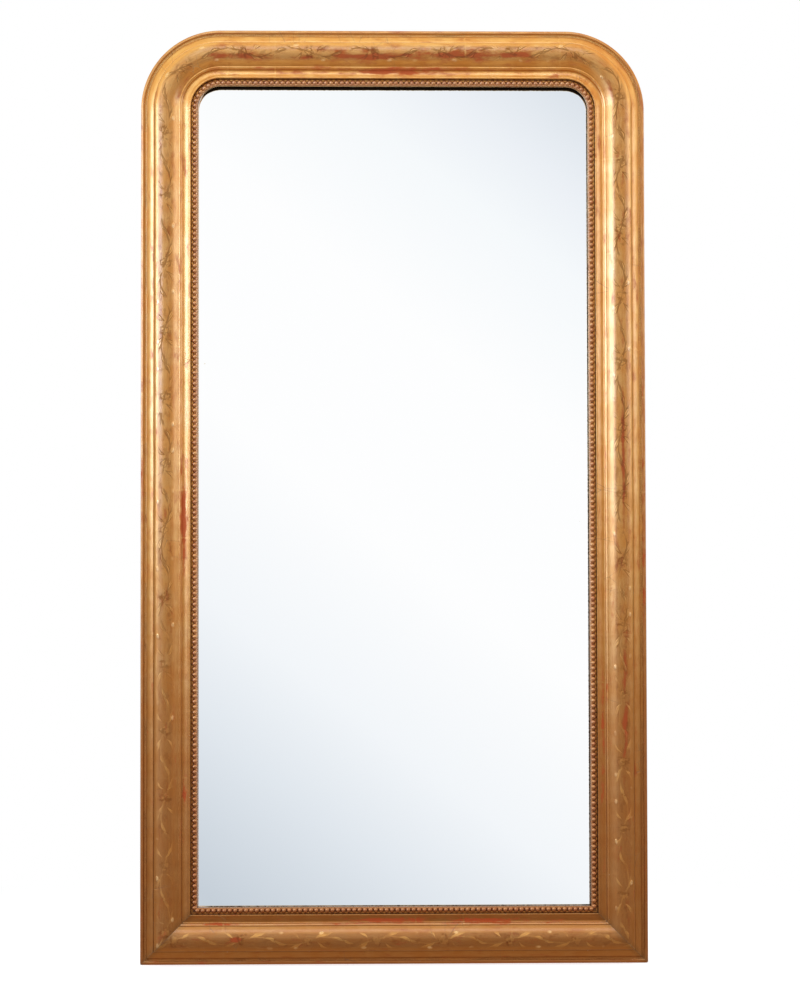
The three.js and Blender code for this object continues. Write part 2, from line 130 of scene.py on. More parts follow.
class Graph:
    """One node tree, and short ways to add to it."""

    def __init__(self, tree):
        self.tree = tree
        self.tree.nodes.clear()

    def node(self, kind, **settings):
        made = self.tree.nodes.new("ShaderNode" + kind)
        for name, value in settings.items():
            setattr(made, name, value)
        return made

    def feed(self, socket, value):
        if isinstance(value, Value):
            value = value.socket
        if isinstance(value, bpy.types.NodeSocket):
            self.tree.links.new(value, socket)
        else:
            socket.default_value = value

    def math(self, operation, *values):
        made = self.node("Math", operation=operation)
        for socket, value in zip(made.inputs, values):
            self.feed(socket, value)
        return Value(self, made.outputs[0])

    def step(self, value, low, high):
        made = self.node("MapRange", interpolation_type="SMOOTHSTEP")
        rising = low < high
        numbers = (value, min(low, high), max(low, high), 0 if rising else 1, 1 if rising else 0)
        for socket, number in zip(made.inputs, numbers):
            self.feed(socket, number)
        return Value(self, made.outputs["Result"])

    def mix(self, share, first, second):
        made = self.node("Mix", data_type="RGBA", clamp_factor=True)
        self.feed(made.inputs["Factor"], share)
        self.feed(made.inputs[6], first)
        self.feed(made.inputs[7], second)
        return made.outputs[2]

    def layered(self, colour, *layers):
        """The colour with layers of (share, colour) laid over it, one after the other."""
        for share, over in layers:
            colour = self.mix(share, colour, over)
        return colour

    def tinted(self, colour, tint):
        """The colour times another one."""
        made = self.node("VectorMath", operation="MULTIPLY")
        self.feed(made.inputs[0], colour)
        self.feed(made.inputs[1], tint)
        return made.outputs[0]

    def vector(self, x, y, z):
        made = self.node("CombineXYZ")
        for socket, value in zip(made.inputs, (x, y, z)):
            self.feed(socket, value)
        return made.outputs[0]

    def parts(self, vector):
        made = self.node("SeparateXYZ")
        self.feed(made.inputs[0], vector)
        return [Value(self, socket) for socket in made.outputs]

    def position(self):
        return self.node("NewGeometry").outputs["Position"]

    def distance(self, x, y):
        return self.math("SQRT", x * x + y * y)

    def attribute(self, name):
        return self.node("Attribute", attribute_name=name).outputs["Vector"]

    def number(self, name):
        return Value(self, self.node("Attribute", attribute_name=name).outputs["Fac"])

    def noise(self, vector, scale, detail=2.0, roughness=0.5):
        made = self.node("TexNoise")
        self.feed(made.inputs["Vector"], vector)
        self.feed(made.inputs["Scale"], scale)
        self.feed(made.inputs["Detail"], detail)
        self.feed(made.inputs["Roughness"], roughness)
        return Value(self, made.outputs["Fac"])

    def cells(self, vector, scale, feature="F1"):
        made = self.node("TexVoronoi", feature=feature)
        self.feed(made.inputs["Vector"], vector)
        self.feed(made.inputs["Scale"], scale)
        return Value(self, made.outputs["Distance"])

    def ramp(self, share, *stops):
        """Stops are (place, colour)."""
        made = self.node("ValToRGB")
        self.feed(made.inputs[0], share)
        elements = made.color_ramp.elements
        for _ in stops[2:]:
            elements.new(0.5)
        for element, (place, colour) in zip(elements, stops):
            element.position = place
            element.color = colour
        return made.outputs[0]

    def bump(self, height):
        """A normal from a height in millimetres."""
        made = self.node("Bump")
        self.feed(made.inputs["Height"], height)
        made.inputs["Strength"].default_value = 1.0
        made.inputs["Distance"].default_value = MM
        return made.outputs[0]

    def surface(self, **sockets):
        """A principled surface. Underscores in the names stand for spaces."""
        made = self.node("BsdfPrincipled")
        for name, value in sockets.items():
            self.feed(made.inputs[name.replace("_", " ")], value)
        self.output(made)

    def blend(self, share, first, second):
        """Two shader nodes mixed."""
        made = self.node("MixShader")
        self.feed(made.inputs[0], share)
        self.tree.links.new(first.outputs[0], made.inputs[1])
        self.tree.links.new(second.outputs[0], made.inputs[2])
        return made

    def output(self, shader, kind="OutputMaterial"):
        self.tree.links.new(shader.outputs[0], self.node(kind).inputs["Surface"])


def material(name, paint):
    """A material whose nodes are made by paint(graph)."""
    made = bpy.data.materials.new(name)
    made.use_nodes = True
    paint(Graph(made.node_tree))
    return made


# ---- The engraved ornament ------------------------------------------------------------

# The sprig's leaves: where each starts, its angle, length, half width and bend, in mm
LEAVES = [
    ((11, 2), 22, 34, 6.4, 3),
    ((14, -2), -34, 24, 4.8, -3),
    ((38, 6), -24, 22, 5.2, 2.5),
    ((31, 9), 38, 13, 3.0, 1),
]
STEM_SWING = 7
PETAL_REACH = 4.6
PETAL_LENGTH = 2.8
BUDS = ((22, 13), (47, -13))
DOT_PITCH = 2.8


def leaf_shape(g, x, y, base, turn, length, width, bend):
    """How far inside a pointed leaf a place is, in mm, and how near its middle vein."""
    cos, sin = math.cos(math.radians(turn)), math.sin(math.radians(turn))
    dx, dy = x - base[0], y - base[1]
    along = (dx * cos + dy * sin) / length
    arch = along * (1 - along)
    across = dy * cos - dx * sin - arch * (4 * bend)
    inside = arch * (2 * width) - abs(across)
    vein = abs(across) + (abs(along - 0.45) - 0.4).most(0) * 100
    return inside, vein


def flower_shape(g, x, y):
    """A flower's cut lines, and its inside."""
    reach = g.distance(x, y)
    angle = g.math("ARCTAN2", y, x)
    petals = abs(g.math("COSINE", angle * 2.5)) * PETAL_LENGTH + PETAL_REACH
    curl = abs((reach * 0.27 + angle * (0.5 / math.pi)).fraction() - 0.5)
    flower = (petals - reach).step(0.0, 0.8)
    lines = abs(petals - reach).step(1.0, 0.3).most(curl.step(0.16, 0.05) * flower)
    return lines, flower


def sprig(g, s, v):
    """The running sprig: cut lines, burnished figures, stippled patches and raised buds."""
    wander = g.vector(s * 0.02, v * 0.05, 3.1)
    s = s + (g.noise(wander, 1.3) - 0.5) * 12
    sway = (g.noise(g.vector(s * 0.02, v * 0.05, 8.4), 1.1) - 0.5) * 10
    x = ((s / SPRIG_PITCH).fraction() - 0.5) * SPRIG_PITCH
    side = g.math("SIGN", x)
    stem = abs(v + sway - g.math("SINE", x * (2 * math.pi / SPRIG_PITCH)) * STEM_SWING)
    x = abs(x)
    y = (v + sway) * side
    lines = stem.step(2.0, 0.6)
    figure = stem.step(1.5, 0.6) * 0.45
    for leaf in LEAVES:
        inside, vein = leaf_shape(g, x, y, *leaf)
        lines = lines.most(abs(inside).step(1.2, 0.4)).most(vein.step(0.9, 0.3) * 0.8)
        figure = figure.most(inside.step(0.0, 0.8))
    flower_lines, flower = flower_shape(g, x, y)
    knot = g.distance((x - SPRIG_PITCH / 2) * 0.8, y).step(9, 2) * 0.7
    patch = g.distance(x, y * 0.6).step(15, 5).most(knot)
    first, second = (g.distance((x - along) * 0.6, v * side - across) for along, across in BUDS)
    buds = first.least(second).step(3.4, 1.2)
    return lines.most(flower_lines), figure.most(flower * 0.4), patch, buds


def diaper(s, v, pitch):
    """Dots punched on a slanted net."""
    first = abs(((s + v) / pitch).fraction() - 0.5)
    second = abs(((s - v) / pitch).fraction() - 0.5)
    return (first + second).step(0.38, 0.12)


# ---- Gilding --------------------------------------------------------------------------

GOLD_BRIGHT = srgb(250, 212, 140)
GOLD_DEEP = srgb(238, 186, 104)
GOLD_THIN = srgb(212, 146, 76)
GOLD_PAINTED_SHADE = srgb(158, 98, 46)
BUD_PAINTED_HIGHLIGHT = srgb(252, 222, 166)
BOLE = srgb(178, 62, 24)
BOLE_LIGHT = srgb(206, 98, 44)
PATINA = srgb(112, 60, 20)
FILLET_BROWN = srgb(168, 108, 74)
BLACK_PAINT = srgb(26, 20, 15)
GESSO = srgb(226, 208, 178)
MITRE_DIRT = srgb(92, 70, 48)
PEARL_GOLD = srgb(216, 180, 150)
PEARL_GOLD_LIGHT = srgb(228, 193, 154)
PEARL_GOLD_PINK = srgb(196, 140, 110)
PEARL_GOLD_PAINTED_SHADE = srgb(168, 116, 80)
PEARL_GRIME_AND_SHADE = srgb(46, 24, 12)

# Where a look fades in or out. Across the moulding, in mm from the outer edge:
OUTER_FILLET = (6.0, 5.2)
GROOVE_START, GROOVE_END = (5.6, 6.4), (11.5, 9.5)
VALLEY_START, VALLEY_END = (21.6, 23.0), (25.0, 23.8)
INNER_HOLLOW = (82.5, 84.5)
SIGHT_WALL = (97.0, 97.4)
# In mm from the crest of the cushion:
ENGRAVED_FIELD = (15.5, 9)
# In mm in front of the frame's back:
SIGHT_WALL_TOP = (33.4, 32.8)
# In metres, across and up the frame:
LIT_LEFT_SIGHT_WALL = (-0.31, -0.33)
ABOVE_MITRE = (0.098, 0.1)
# Towards the bottom the gold and the pearls are painted darker, as shade, and the cut lines fade
LINES_FULL = (0.2, 0.7)
SHADE_LOW_DOWN = (0.9, 0.2)
PEARLS_SHADE_LOW_DOWN = (0.6, 0.06)


def moulding_places(g):
    """Where a point lies on the moulding, and the noises that its layers share."""
    m = SimpleNamespace()
    m.s, m.v, _ = g.parts(g.attribute("run"))
    m.u, m.h, _ = g.parts(g.attribute("profile"))
    m.x, _, m.z = g.parts(g.position())
    m.edge = g.number("edge")
    m.hollow = g.number("hollow")
    m.grain = g.vector(m.s, m.v, 0)
    m.cloud = g.noise(m.grain, 0.022, 3)
    m.streaks = g.noise(g.vector(m.s * 0.12, m.v, 0), 0.35, 4, 0.6)
    m.fine = g.noise(m.grain, 0.55, 4, 0.65)
    m.speckle = g.noise(m.grain, 1.7, 2, 0.6)
    return m


def engrave(g, m):
    """The cushion's ornament, worn away in places: lines, figures, patches, buds and dots."""
    in_field = abs(m.v).step(*ENGRAVED_FIELD)
    lines, figure, patch, buds = sprig(g, m.s, m.v)
    kept = g.noise(m.grain, 0.03, 2).step(0.36, 0.5) * 0.65 + 0.35
    broken = g.noise(g.vector(m.s, m.v * 0.6, 7.0), 0.17, 3, 0.6).step(0.42, 0.58)
    # The cut lines fade towards the bottom, where the gold is painted darker as shade
    m.lines = lines * in_field * kept * (m.z.step(*LINES_FULL) * 0.7 + 0.3)
    m.figure = figure * in_field * kept * kept
    m.patch = patch * in_field * kept * broken
    m.buds = buds * g.noise(m.grain, 0.02, 1).step(0.48, 0.6)
    m.ground = in_field * (1 - m.figure)
    some = g.noise(m.grain, 0.045, 2).step(0.4, 0.62)
    m.dots = diaper(m.s, m.v, DOT_PITCH) * m.ground * some.most(m.patch)
    blots = g.noise(g.vector(m.s * 0.7, m.v, 9.0), 0.075, 3, 0.6)
    m.mottle = blots.step(0.5, 0.66) * m.ground


def wear_down(g, m):
    """Laps between leaves, and where the gold is worn, bare, cracked, chipped or mitred."""
    wobble = (g.noise(g.vector(m.v * 0.2, 0, 2.0), 0.9, 1) - 0.5) * 5
    lap_place = ((m.s + wobble - LEAF_PHASE) / LEAF + 0.5).fraction() - 0.5
    some_laps = g.noise(m.grain, 0.011, 1).step(0.4, 0.62)
    m.lap = abs(lap_place * LEAF).step(1.9, 1.1) * some_laps
    thin = g.noise(g.vector(m.s * 0.35, m.v, 4.0), 0.085, 4, 0.62)
    wear = thin + g.number("bole") * 0.42 + m.edge * 0.05 - m.hollow * 0.06 - m.lap * 0.14
    wear = wear + m.ground * 0.02
    m.bare = (wear + (m.speckle - 0.5) * 0.16).step(0.62, 0.84)
    m.worn = (wear + (m.fine - 0.5) * 0.2).step(0.52, 0.72)
    cracks = g.cells(g.vector(m.s, m.v * 0.35, 0), 0.035, "DISTANCE_TO_EDGE")
    some_cracks = g.noise(m.grain, 0.012, 1).step(0.58, 0.68)
    m.cracked = cracks.step(0.009, 0.003) * some_cracks
    m.chips = (g.noise(m.grain, 0.5, 2) + m.edge * 0.12).step(0.80, 0.84)
    off_mitre = abs(HALF - abs(m.x) / MM - m.z / MM) + m.z.step(*ABOVE_MITRE) * 99
    m.mitre = off_mitre.step(1.0, 0.3)
    m.mitre_dirt = m.mitre.most(off_mitre.step(15, 1) * (m.fine - 0.1))


def gold_colour(g, m):
    """Gold leaf, streaked, burnished on the figures, painted darker low down as shade, over the
    bole.
    """
    gold = g.layered(
        g.mix(m.cloud.step(0.34, 0.66), GOLD_DEEP, GOLD_BRIGHT),
        (m.streaks.step(0.42, 0.72) * 0.5, GOLD_THIN),
        (m.lap * 0.22, GOLD_BRIGHT),
        (m.worn * 0.55, GOLD_THIN),
        (m.figure * 0.6, GOLD_BRIGHT),
        # Painted shade: darker towards the bottom, less so on the burnished figures
        (m.z.step(*SHADE_LOW_DOWN) * (0.7 - m.figure * 0.36), GOLD_PAINTED_SHADE),
        # Painted highlight: the raised buds are painted pale, with less metal and no dirt, to read
        # as bright dabs
        (m.buds * 0.7, BUD_PAINTED_HIGHLIGHT),
        (m.u.step(*OUTER_FILLET) * (m.streaks * 0.7 + 0.1), FILLET_BROWN),
    )
    return g.mix(m.bare * 0.85, gold, g.mix(m.fine, BOLE, BOLE_LIGHT))


def dirt_and_shade_on(m):
    """The dirt in the engraving and the matt ground, and grime with painted shade in the grooves,
    the hollows and the valley.
    """
    groove = m.u.step(*GROOVE_START) * m.u.step(*GROOVE_END)
    valley = m.u.step(*VALLEY_START) * m.u.step(*VALLEY_END)
    # Grime and painted shade: darker in the hollows, most in the one by the pearls, and in the outer
    # groove
    sunk = (m.hollow * (0.3 + m.u.step(*INNER_HOLLOW) * 0.65)).most(groove * 0.5)
    grime_and_shade = (sunk + (m.fine - 0.5) * 0.7 + (m.cloud - 0.5) * 0.5).step(0.25, 0.8)
    flecks = m.speckle.step(0.66, 0.74) * (m.cloud * 0.5 + 0.2)
    haze = m.ground * (m.fine * 0.3 + m.cloud * 0.3 - 0.03)
    dirt = (grime_and_shade * 0.85).most(flecks * 0.6).most(m.lines * 0.66).most(m.dots * 0.55)
    # The valley between bead and cushion is darkened as grime and painted shade
    dirt = dirt.most(haze).most(m.patch * 0.6).most(m.mottle * 0.45).most(valley * 0.55)
    return dirt * (1 - m.buds)


def gilding_relief(g, m):
    """The height of the gilding's surface in mm."""
    ripple = g.noise(g.vector(m.s * 0.6, m.v * 0.5, 0), 0.06, 2) * 0.5
    grain = (m.fine - 0.5) * 0.05 + (m.streaks - 0.5) * 0.06 + (m.speckle - 0.5) * 0.02
    raised = m.figure * 0.06 + m.lap * 0.015 + m.buds * 0.3
    cut = m.lines * 0.2 + m.dots * 0.12 + m.cracked * 0.2 + m.chips * 0.2 + m.bare * 0.02
    return grain + ripple + raised - cut


def gild(g):
    """Burnished and matt gold leaf over red bole and gesso, engraved and worn, with painted shade
    and highlights.
    """
    m = moulding_places(g)
    engrave(g, m)
    wear_down(g, m)
    # dirt holds painted shade from the hollows as well as grime and dirt
    dirt = dirt_and_shade_on(m)
    painted = m.u.step(*SIGHT_WALL) * m.h.step(*SIGHT_WALL_TOP)
    # Painted light: on the left the sight wall keeps most of its gold instead of black paint, for
    # the bright reflection it shows there
    painted = painted * (1 - m.x.step(*LIT_LEFT_SIGHT_WALL) * 0.85)
    colour = g.layered(
        gold_colour(g, m),
        (dirt, PATINA),
        (m.cracked * 0.45, PATINA),
        (m.mitre_dirt * 0.75, MITRE_DIRT),
        (m.chips * 0.9, GESSO),
        (painted, BLACK_PAINT),
    )
    covered = painted.most(m.chips).most(m.bare * 0.55).most(dirt * 0.3)
    covered = covered.most(m.cracked * 0.6).most(m.buds * 0.3).most(m.mitre * 0.6)
    rough = 0.28 + m.worn * 0.1 + m.bare * 0.14 + dirt * 0.22 + m.fine * 0.08
    rough = rough + m.ground * 0.09 + m.streaks * 0.05 - m.buds * 0.1
    g.surface(
        Base_Color=colour,
        Metallic=1 - covered,
        Roughness=rough * (1 - painted) + painted * 0.12,
        Coat_Weight=(1 - painted) * (0.9 - dirt.most(m.bare).step(0.25, 0.65) * 0.85),
        Coat_Roughness=0.24,
        Coat_IOR=1.85,
        Normal=g.bump(gilding_relief(g, m)),
    )


def gild_pearls(g):
    """Dull, pinkish gold leaf on the pearls, with grime and painted shade between them and painted
    shade low down.
    """
    s, v, seed = g.parts(g.attribute("run"))
    _, _, z = g.parts(g.position())
    rise = g.number("rise")
    fine = g.noise(g.vector(s, v, rise * 6), 0.5, 3, 0.6)
    patch = g.noise(g.vector(s, seed, 0.0), 0.02, 2)
    own = g.noise(g.vector(seed, 0.5, 0.5), 7.3, 1)
    bare = (fine + own * 0.25 + rise * 0.06).step(0.7, 0.86)
    lip = v.step(2.4, 3.4)
    # Grime and painted shade: darker where a pearl sinks to its bed and between the pearls, less on
    # the lip
    grime_and_shade = (1 - rise - lip * 0.5 + (fine - 0.5) * 0.4).step(0.5, 0.95)
    colour = g.layered(
        g.mix(patch.step(0.4, 0.6), PEARL_GOLD, PEARL_GOLD_LIGHT),
        (own.step(0.3, 0.8) * 0.3, PEARL_GOLD_PINK),
        # Painted shade: the pearls are darker towards the bottom
        (z.step(*PEARLS_SHADE_LOW_DOWN) * 0.55, PEARL_GOLD_PAINTED_SHADE),
        (bare * 0.6, BOLE_LIGHT),
        (grime_and_shade * 0.93, PEARL_GRIME_AND_SHADE),
    )
    g.surface(
        Base_Color=colour,
        Metallic=1 - grime_and_shade.most(bare * 0.5) * 0.8,
        Roughness=0.36 + grime_and_shade * 0.35 + fine * 0.14,
        Normal=g.bump((fine - 0.5) * 0.12),
    )


# ---- Glass, wood and iron -------------------------------------------------------------

SILVER = (0.985, 0.99, 0.995, 1)
LOST_SILVER_AND_SHADE = srgb(52, 46, 40)
TIN_DARK = srgb(120, 122, 120)
TIN_LIGHT = srgb(176, 178, 174)
KNOT_BROWN = srgb(58, 32, 16)
IRON_DARK = srgb(58, 54, 50)
IRON_LIGHT = srgb(84, 78, 72)
RUST_DARK = srgb(70, 38, 22)
RUST_LIGHT = srgb(122, 68, 36)

# Where the plate's dark edge is widened as painted shade at the top and right and narrowed as
# painted light on the left, in metres, and by how much, in mm
SHADED_EDGE_AT_TOP = (1.47, 1.489), 3.6
SHADED_EDGE_AT_RIGHT = (0.31, 0.33), 0.3
LIT_EDGE_AT_LEFT = (-0.31, -0.33), 1.2


def from_sight_edge(g, place):
    """How far a place on the plate is from the sight edge, in metres."""
    x, _, z = g.parts(place)
    half = (HALF - SIGHT_EDGE) * MM
    radius = (CORNER_RADIUS - SIGHT_EDGE) * MM
    centre = HEIGHT / 2 * MM
    tall = (HEIGHT / 2 - SIGHT_EDGE) * MM
    dx = abs(x) - (half - radius)
    dz = abs(z - centre) - (tall - radius)
    square = z.step(centre + 0.001, centre)
    corner = g.distance(dx.most(0), dz.most(0))
    return radius - (corner * (1 - square) + dx.most(dz) * square)


def silver_glass(g):
    """An old mirror plate: bright, its silvering gone dark along the very edge, that dark edge
    painted wider as shade at the top and right and narrower on the left.
    """
    place = g.position()
    x, _, z = g.parts(place)
    inward = from_sight_edge(g, place)
    ragged = g.noise(place, 260, 3, 0.6)
    spots = g.noise(place, 42, 3, 0.7)
    (at_top, more_top), (at_right, more_right) = SHADED_EDGE_AT_TOP, SHADED_EDGE_AT_RIGHT
    at_left, less_left = LIT_EDGE_AT_LEFT
    # Painted shade and light: the dark edge is widened at the top and right and narrowed on the left
    more = z.step(*at_top) * more_top + x.step(*at_right) * more_right - x.step(*at_left) * less_left
    lost_and_shaded = (inward / MM + (ragged - 0.5) * 2.2 - more).step(1.1, 0.3)
    foxed = spots.step(0.72, 0.78) * inward.step(0.028, 0.004)
    mark = lost_and_shaded.most(foxed * 0.5)
    g.surface(
        Base_Color=g.mix(mark, SILVER, LOST_SILVER_AND_SHADE),
        Metallic=1.0,
        Roughness=mark * 0.5,
    )


def tin(g):
    tone = g.noise(g.position(), 30, 4, 0.6)
    g.surface(
        Base_Color=g.ramp(tone, (0.3, TIN_DARK), (0.7, TIN_LIGHT)),
        Metallic=0.85,
        Roughness=tone * 0.3 + 0.35,
        Normal=g.bump(tone * 0.2),
    )


def wood(light, dark, dirt, ring, knots):
    """Paints sawn wood. ring is the width of a year's growth in mm."""
    def paint(g):
        a, b, c = g.parts(g.attribute("timber"))
        seed = g.number("seed")
        drift = (g.noise(g.vector(a * 0.004, b * 0.02, seed), 1.0, 2) - 0.5) * 46
        knot = g.cells(g.vector(a * 0.0042, b * 0.0125, seed), 1.0)
        pull = knot.step(0.22, 0.0) * knots
        pith = b + drift + seed * 31 + pull * 14
        radius = g.math("SQRT", pith * pith * 0.35 + (c + 26) * (c + 26))
        fibre = g.noise(g.vector(a * 0.035, b, c), 1.1, 4, 0.7)
        year = (radius / ring + (fibre - 0.5) * 0.35).fraction()
        late = year.step(0.35, 0.9) * year.step(1.0, 0.93)
        tone = g.noise(g.vector(a * 0.003, b * 0.03, seed + 2.0), 1.0, 2)
        stain = g.noise(g.vector(a * 0.004, b * 0.02, seed + 5.0), 1.0, 5, 0.65)
        colour = g.layered(
            g.mix(tone.step(0.3, 0.7), light, g.mix(0.45, light, dark)),
            (late * 0.5, dark),
            (fibre.step(0.5, 0.75) * 0.4, dark),
            (knot.step(0.085, 0.05) * knots, KNOT_BROWN),
            (stain.step(0.45, 0.75) * 0.35, dirt),
        )
        saw = g.math("SINE", a * 2.6 + (fibre - 0.5) * 2 + b * 0.12)
        relief = fibre * 0.16 + late * 0.05 + saw * 0.025 + (1 - pull) * 0.1
        g.surface(
            Base_Color=colour,
            Roughness=fibre * 0.2 + 0.68,
            Specular_IOR_Level=0.3,
            Normal=g.bump(relief),
        )
    return paint


def iron(g):
    place = g.position()
    rust = g.noise(place, 190, 4, 0.65)
    broad = g.noise(place, 45, 2)
    amount = (rust + (broad - 0.5) * 0.6).step(0.45, 0.7)
    metal = g.mix(broad, IRON_DARK, IRON_LIGHT)
    g.surface(
        Base_Color=g.mix(amount * 0.8, metal, g.mix(rust, RUST_DARK, RUST_LIGHT)),
        Metallic=1 - amount * 0.85,
        Roughness=0.42 + amount * 0.4,
        Normal=g.bump(rust * 0.22),
    )


# ---- The moulding's section -----------------------------------------------------------

SECTION_STEP = 0.05
SOFTENING = 0.36
BEND_BLUR = 0.12
WIDE_BEND_BLUR = 0.75
SPACING_BLUR = 0.4
FINEST, COARSEST, HIDDEN_SPACING = 0.22, 1.25, 6.0
NEAR_BENDS = 0.6
HIDDEN_BELOW = 24.8
CREST_ROOM = 0.03


def arc(start, end, point, count=60):
    return [point(start + (end - start) * i / count) for i in range(count + 1)]


def bead():
    middle = (BEAD["from"] + BEAD["to"]) / 2
    half = (BEAD["to"] - BEAD["from"]) / 2
    return arc(math.pi, 0, lambda a: (
        middle + half * math.cos(a),
        BEAD["base"] + BEAD["rake"] * math.cos(a) + BEAD["rise"] * math.sin(a),
    ))


def cushion():
    radius, shoulder = CUSHION["radius"], CUSHION["shoulder"]
    small = radius - shoulder
    tilt = math.asin((CREST - CUSHION["from"] - shoulder) / small)
    centre = DEPTH - radius
    at_u = CREST - small * math.sin(tilt)
    at_h = centre + small * math.cos(tilt)
    turned = arc(math.pi / 2, tilt, lambda a: (
        at_u - shoulder * math.sin(a),
        at_h + shoulder * math.cos(a),
    ))
    last = math.asin((CUSHION["to"] - CREST) / radius)
    broad = arc(-tilt, last, lambda a: (
        CREST + radius * math.sin(a),
        centre + radius * math.cos(a),
    ))
    return turned + broad[1:]


def scotia():
    """A hollow that is deepest next to the upper fillet and rises slowly inward."""
    floor, low, tight, radius = (SCOTIA[k] for k in ("floor", "low", "tight", "radius"))
    near = arc(-math.asin((low - SCOTIA["from"]) / tight), 0, lambda a: (
        low + tight * math.sin(a),
        floor + tight * (1 - math.cos(a)),
    ))
    far = arc(0, math.asin((SCOTIA["to"] - low) / radius), lambda a: (
        low + radius * math.sin(a),
        floor + radius * (1 - math.cos(a)),
    ))
    return near + far[1:]


def outline():
    """The section's corners as (u, h), from the outer edge over the front to the glass."""
    return [
        (0, SEAT + GAP),
        (0, 26.1),
        (0.4, 26.7),
        (2.4, 27.45),
        (4.7, 27.5),
        (5.6, 27.1),
        (6.05, GROOVE_HEIGHT),
        *bead(),
        (23.5, 31.2),
        *cushion(),
        (66.5, 47.3),
        (67.6, 47.3),
        (70.7, 45.9),
        *scotia(),
        (83.1, LOWER_FILLET),
        (85.6, LOWER_FILLET),
        (85.9, 35),
        (97.1, 35),
        (97.3, 37.6),
        (SIGHT_EDGE, 37.6),
        (SIGHT_EDGE, GLASS_FRONT + GAP),
        (84, GLASS_FRONT + GAP),
        (84, SEAT + GAP),
    ]


def even_steps(points, step):
    """The closed line through the points at about this step, with the length so far."""
    loop = np.array([*points, points[0]], float)
    lengths = np.concatenate([[0], np.cumsum(np.hypot(*np.diff(loop, axis=0).T))])
    count = int(lengths[-1] / step)
    places = np.arange(count) * lengths[-1] / count
    line = np.stack([np.interp(places, lengths, loop[:, k]) for k in (0, 1)], 1)
    return line, places


def smooth(values, sigma, step):
    """Values round a closed loop, blurred over sigma."""
    reach = int(4 * sigma / step)
    offsets = np.arange(-reach, reach + 1)
    weights = np.exp(-0.5 * (offsets * step / sigma) ** 2)
    weights /= weights.sum()
    return sum(w * np.roll(values, o, 0) for w, o in zip(weights, offsets))


def bend_of(line, step):
    """Signed curvature in 1/mm: positive on edges, negative in hollows."""
    ahead = np.roll(line, -1, 0) - line
    behind = line - np.roll(line, 1, 0)
    cross = ahead[:, 0] * behind[:, 1] - ahead[:, 1] * behind[:, 0]
    return cross / step ** 3


def section_spacing(line, bend, wide):
    """How far apart the section's points lie: close on bends, wide where nothing shows."""
    hidden = (line[:, 1] < HIDDEN_BELOW) & (line[:, 0] > 1)
    spacing = np.clip(0.16 + 0.42 / (np.abs(bend) + 1e-3), FINEST, COARSEST)
    spacing = np.where(np.abs(wide) > 0.12, np.minimum(spacing, NEAR_BENDS), spacing)
    return smooth(np.where(hidden, HIDDEN_SPACING, spacing), SPACING_BLUR, SECTION_STEP)


def moulding_section():
    """Section points with their inset, height, distance from the crest, edge and hollow."""
    line, places = even_steps(outline(), SECTION_STEP)
    soft = smooth(line, SOFTENING, SECTION_STEP)
    bend = smooth(bend_of(soft, SECTION_STEP), BEND_BLUR, SECTION_STEP)
    wide = smooth(bend, WIDE_BEND_BLUR, SECTION_STEP)
    spacing = section_spacing(soft, bend, wide)
    share = np.concatenate([[0], np.cumsum(SECTION_STEP / spacing)])
    count = int(round(share[-1]))
    picks = np.searchsorted(share, np.arange(count) * share[-1] / count)
    crest = places[np.argmax(soft[:, 1])]
    return {
        "u": soft[picks, 0],
        "h": np.minimum(soft[picks, 1], DEPTH - CREST_ROOM),
        "v": places[picks] - crest,
        "edge": np.clip(wide[picks] * 2.4, 0, 1),
        "hollow": np.clip(-wide[picks] * 2.6, 0, 1),
    }


# ---- The runs of the frame ------------------------------------------------------------

ALONG_STEP = 3.0
ANGLE_STEP = math.radians(1.3)


def straight(low, high):
    """Stations from low(u) to high(u)."""
    def stations(u):
        start, end = low(u), high(u)
        count = int((end - start).max() / ALONG_STEP)
        share = np.linspace(0, 1, count + 1)[:, None]
        return start + share * (end - start)
    return stations


def curved(u):
    count = int(math.pi / 2 / ANGLE_STEP)
    return np.linspace(0, math.pi / 2, count + 1)[:, None] + 0 * u


def level(value):
    return lambda u: value + 0 * u


RUNS = {
    "bottom_rail": {
        "pearls": "bottom_pearls",
        "stations": straight(lambda u: -HALF + u + GAP / 2, lambda u: HALF - u - GAP / 2),
        "place": lambda t, u: (t, u),
        "travel": lambda t: BOTTOM_MIDDLE + t,
    },
    "left_stile": {
        "pearls": "left_pearls",
        "stations": straight(lambda u: u + GAP / 2, level(CORNER_Z)),
        "place": lambda t, u: (-HALF + u, t),
        "travel": lambda t: t,
    },
    "top_left_corner": {
        "pearls": "top_left_pearls",
        "stations": curved,
        "place": lambda t, u: (
            -CORNER_X - (CORNER_RADIUS - u) * np.cos(t),
            CORNER_Z + (CORNER_RADIUS - u) * np.sin(t),
        ),
        "travel": lambda t: CORNER_Z + CORNER_RUN * t / (math.pi / 2),
    },
    "top_rail": {
        "pearls": "top_pearls",
        "stations": straight(level(-CORNER_X), level(CORNER_X)),
        "place": lambda t, u: (t, HEIGHT - u),
        "travel": lambda t: TOP_START + t + CORNER_X,
    },
    "top_right_corner": {
        "pearls": "top_right_pearls",
        "stations": curved,
        "place": lambda t, u: (
            CORNER_X + (CORNER_RADIUS - u) * np.sin(t),
            CORNER_Z + (CORNER_RADIUS - u) * np.cos(t),
        ),
        "travel": lambda t: TOP_END + CORNER_RUN * t / (math.pi / 2),
    },
    "right_stile": {
        "pearls": "right_pearls",
        "stations": straight(level(-CORNER_Z), lambda u: -u - GAP / 2),
        "place": lambda t, u: (HALF - u, -t),
        "travel": lambda t: RIGHT_START + t + CORNER_Z,
    },
}


def left_run(z):
    return z


def top_run(x):
    return TOP_START + CORNER_X + x


def right_run(z):
    return RIGHT_START + CORNER_Z - z


def bottom_run(x):
    return BOTTOM_MIDDLE + x


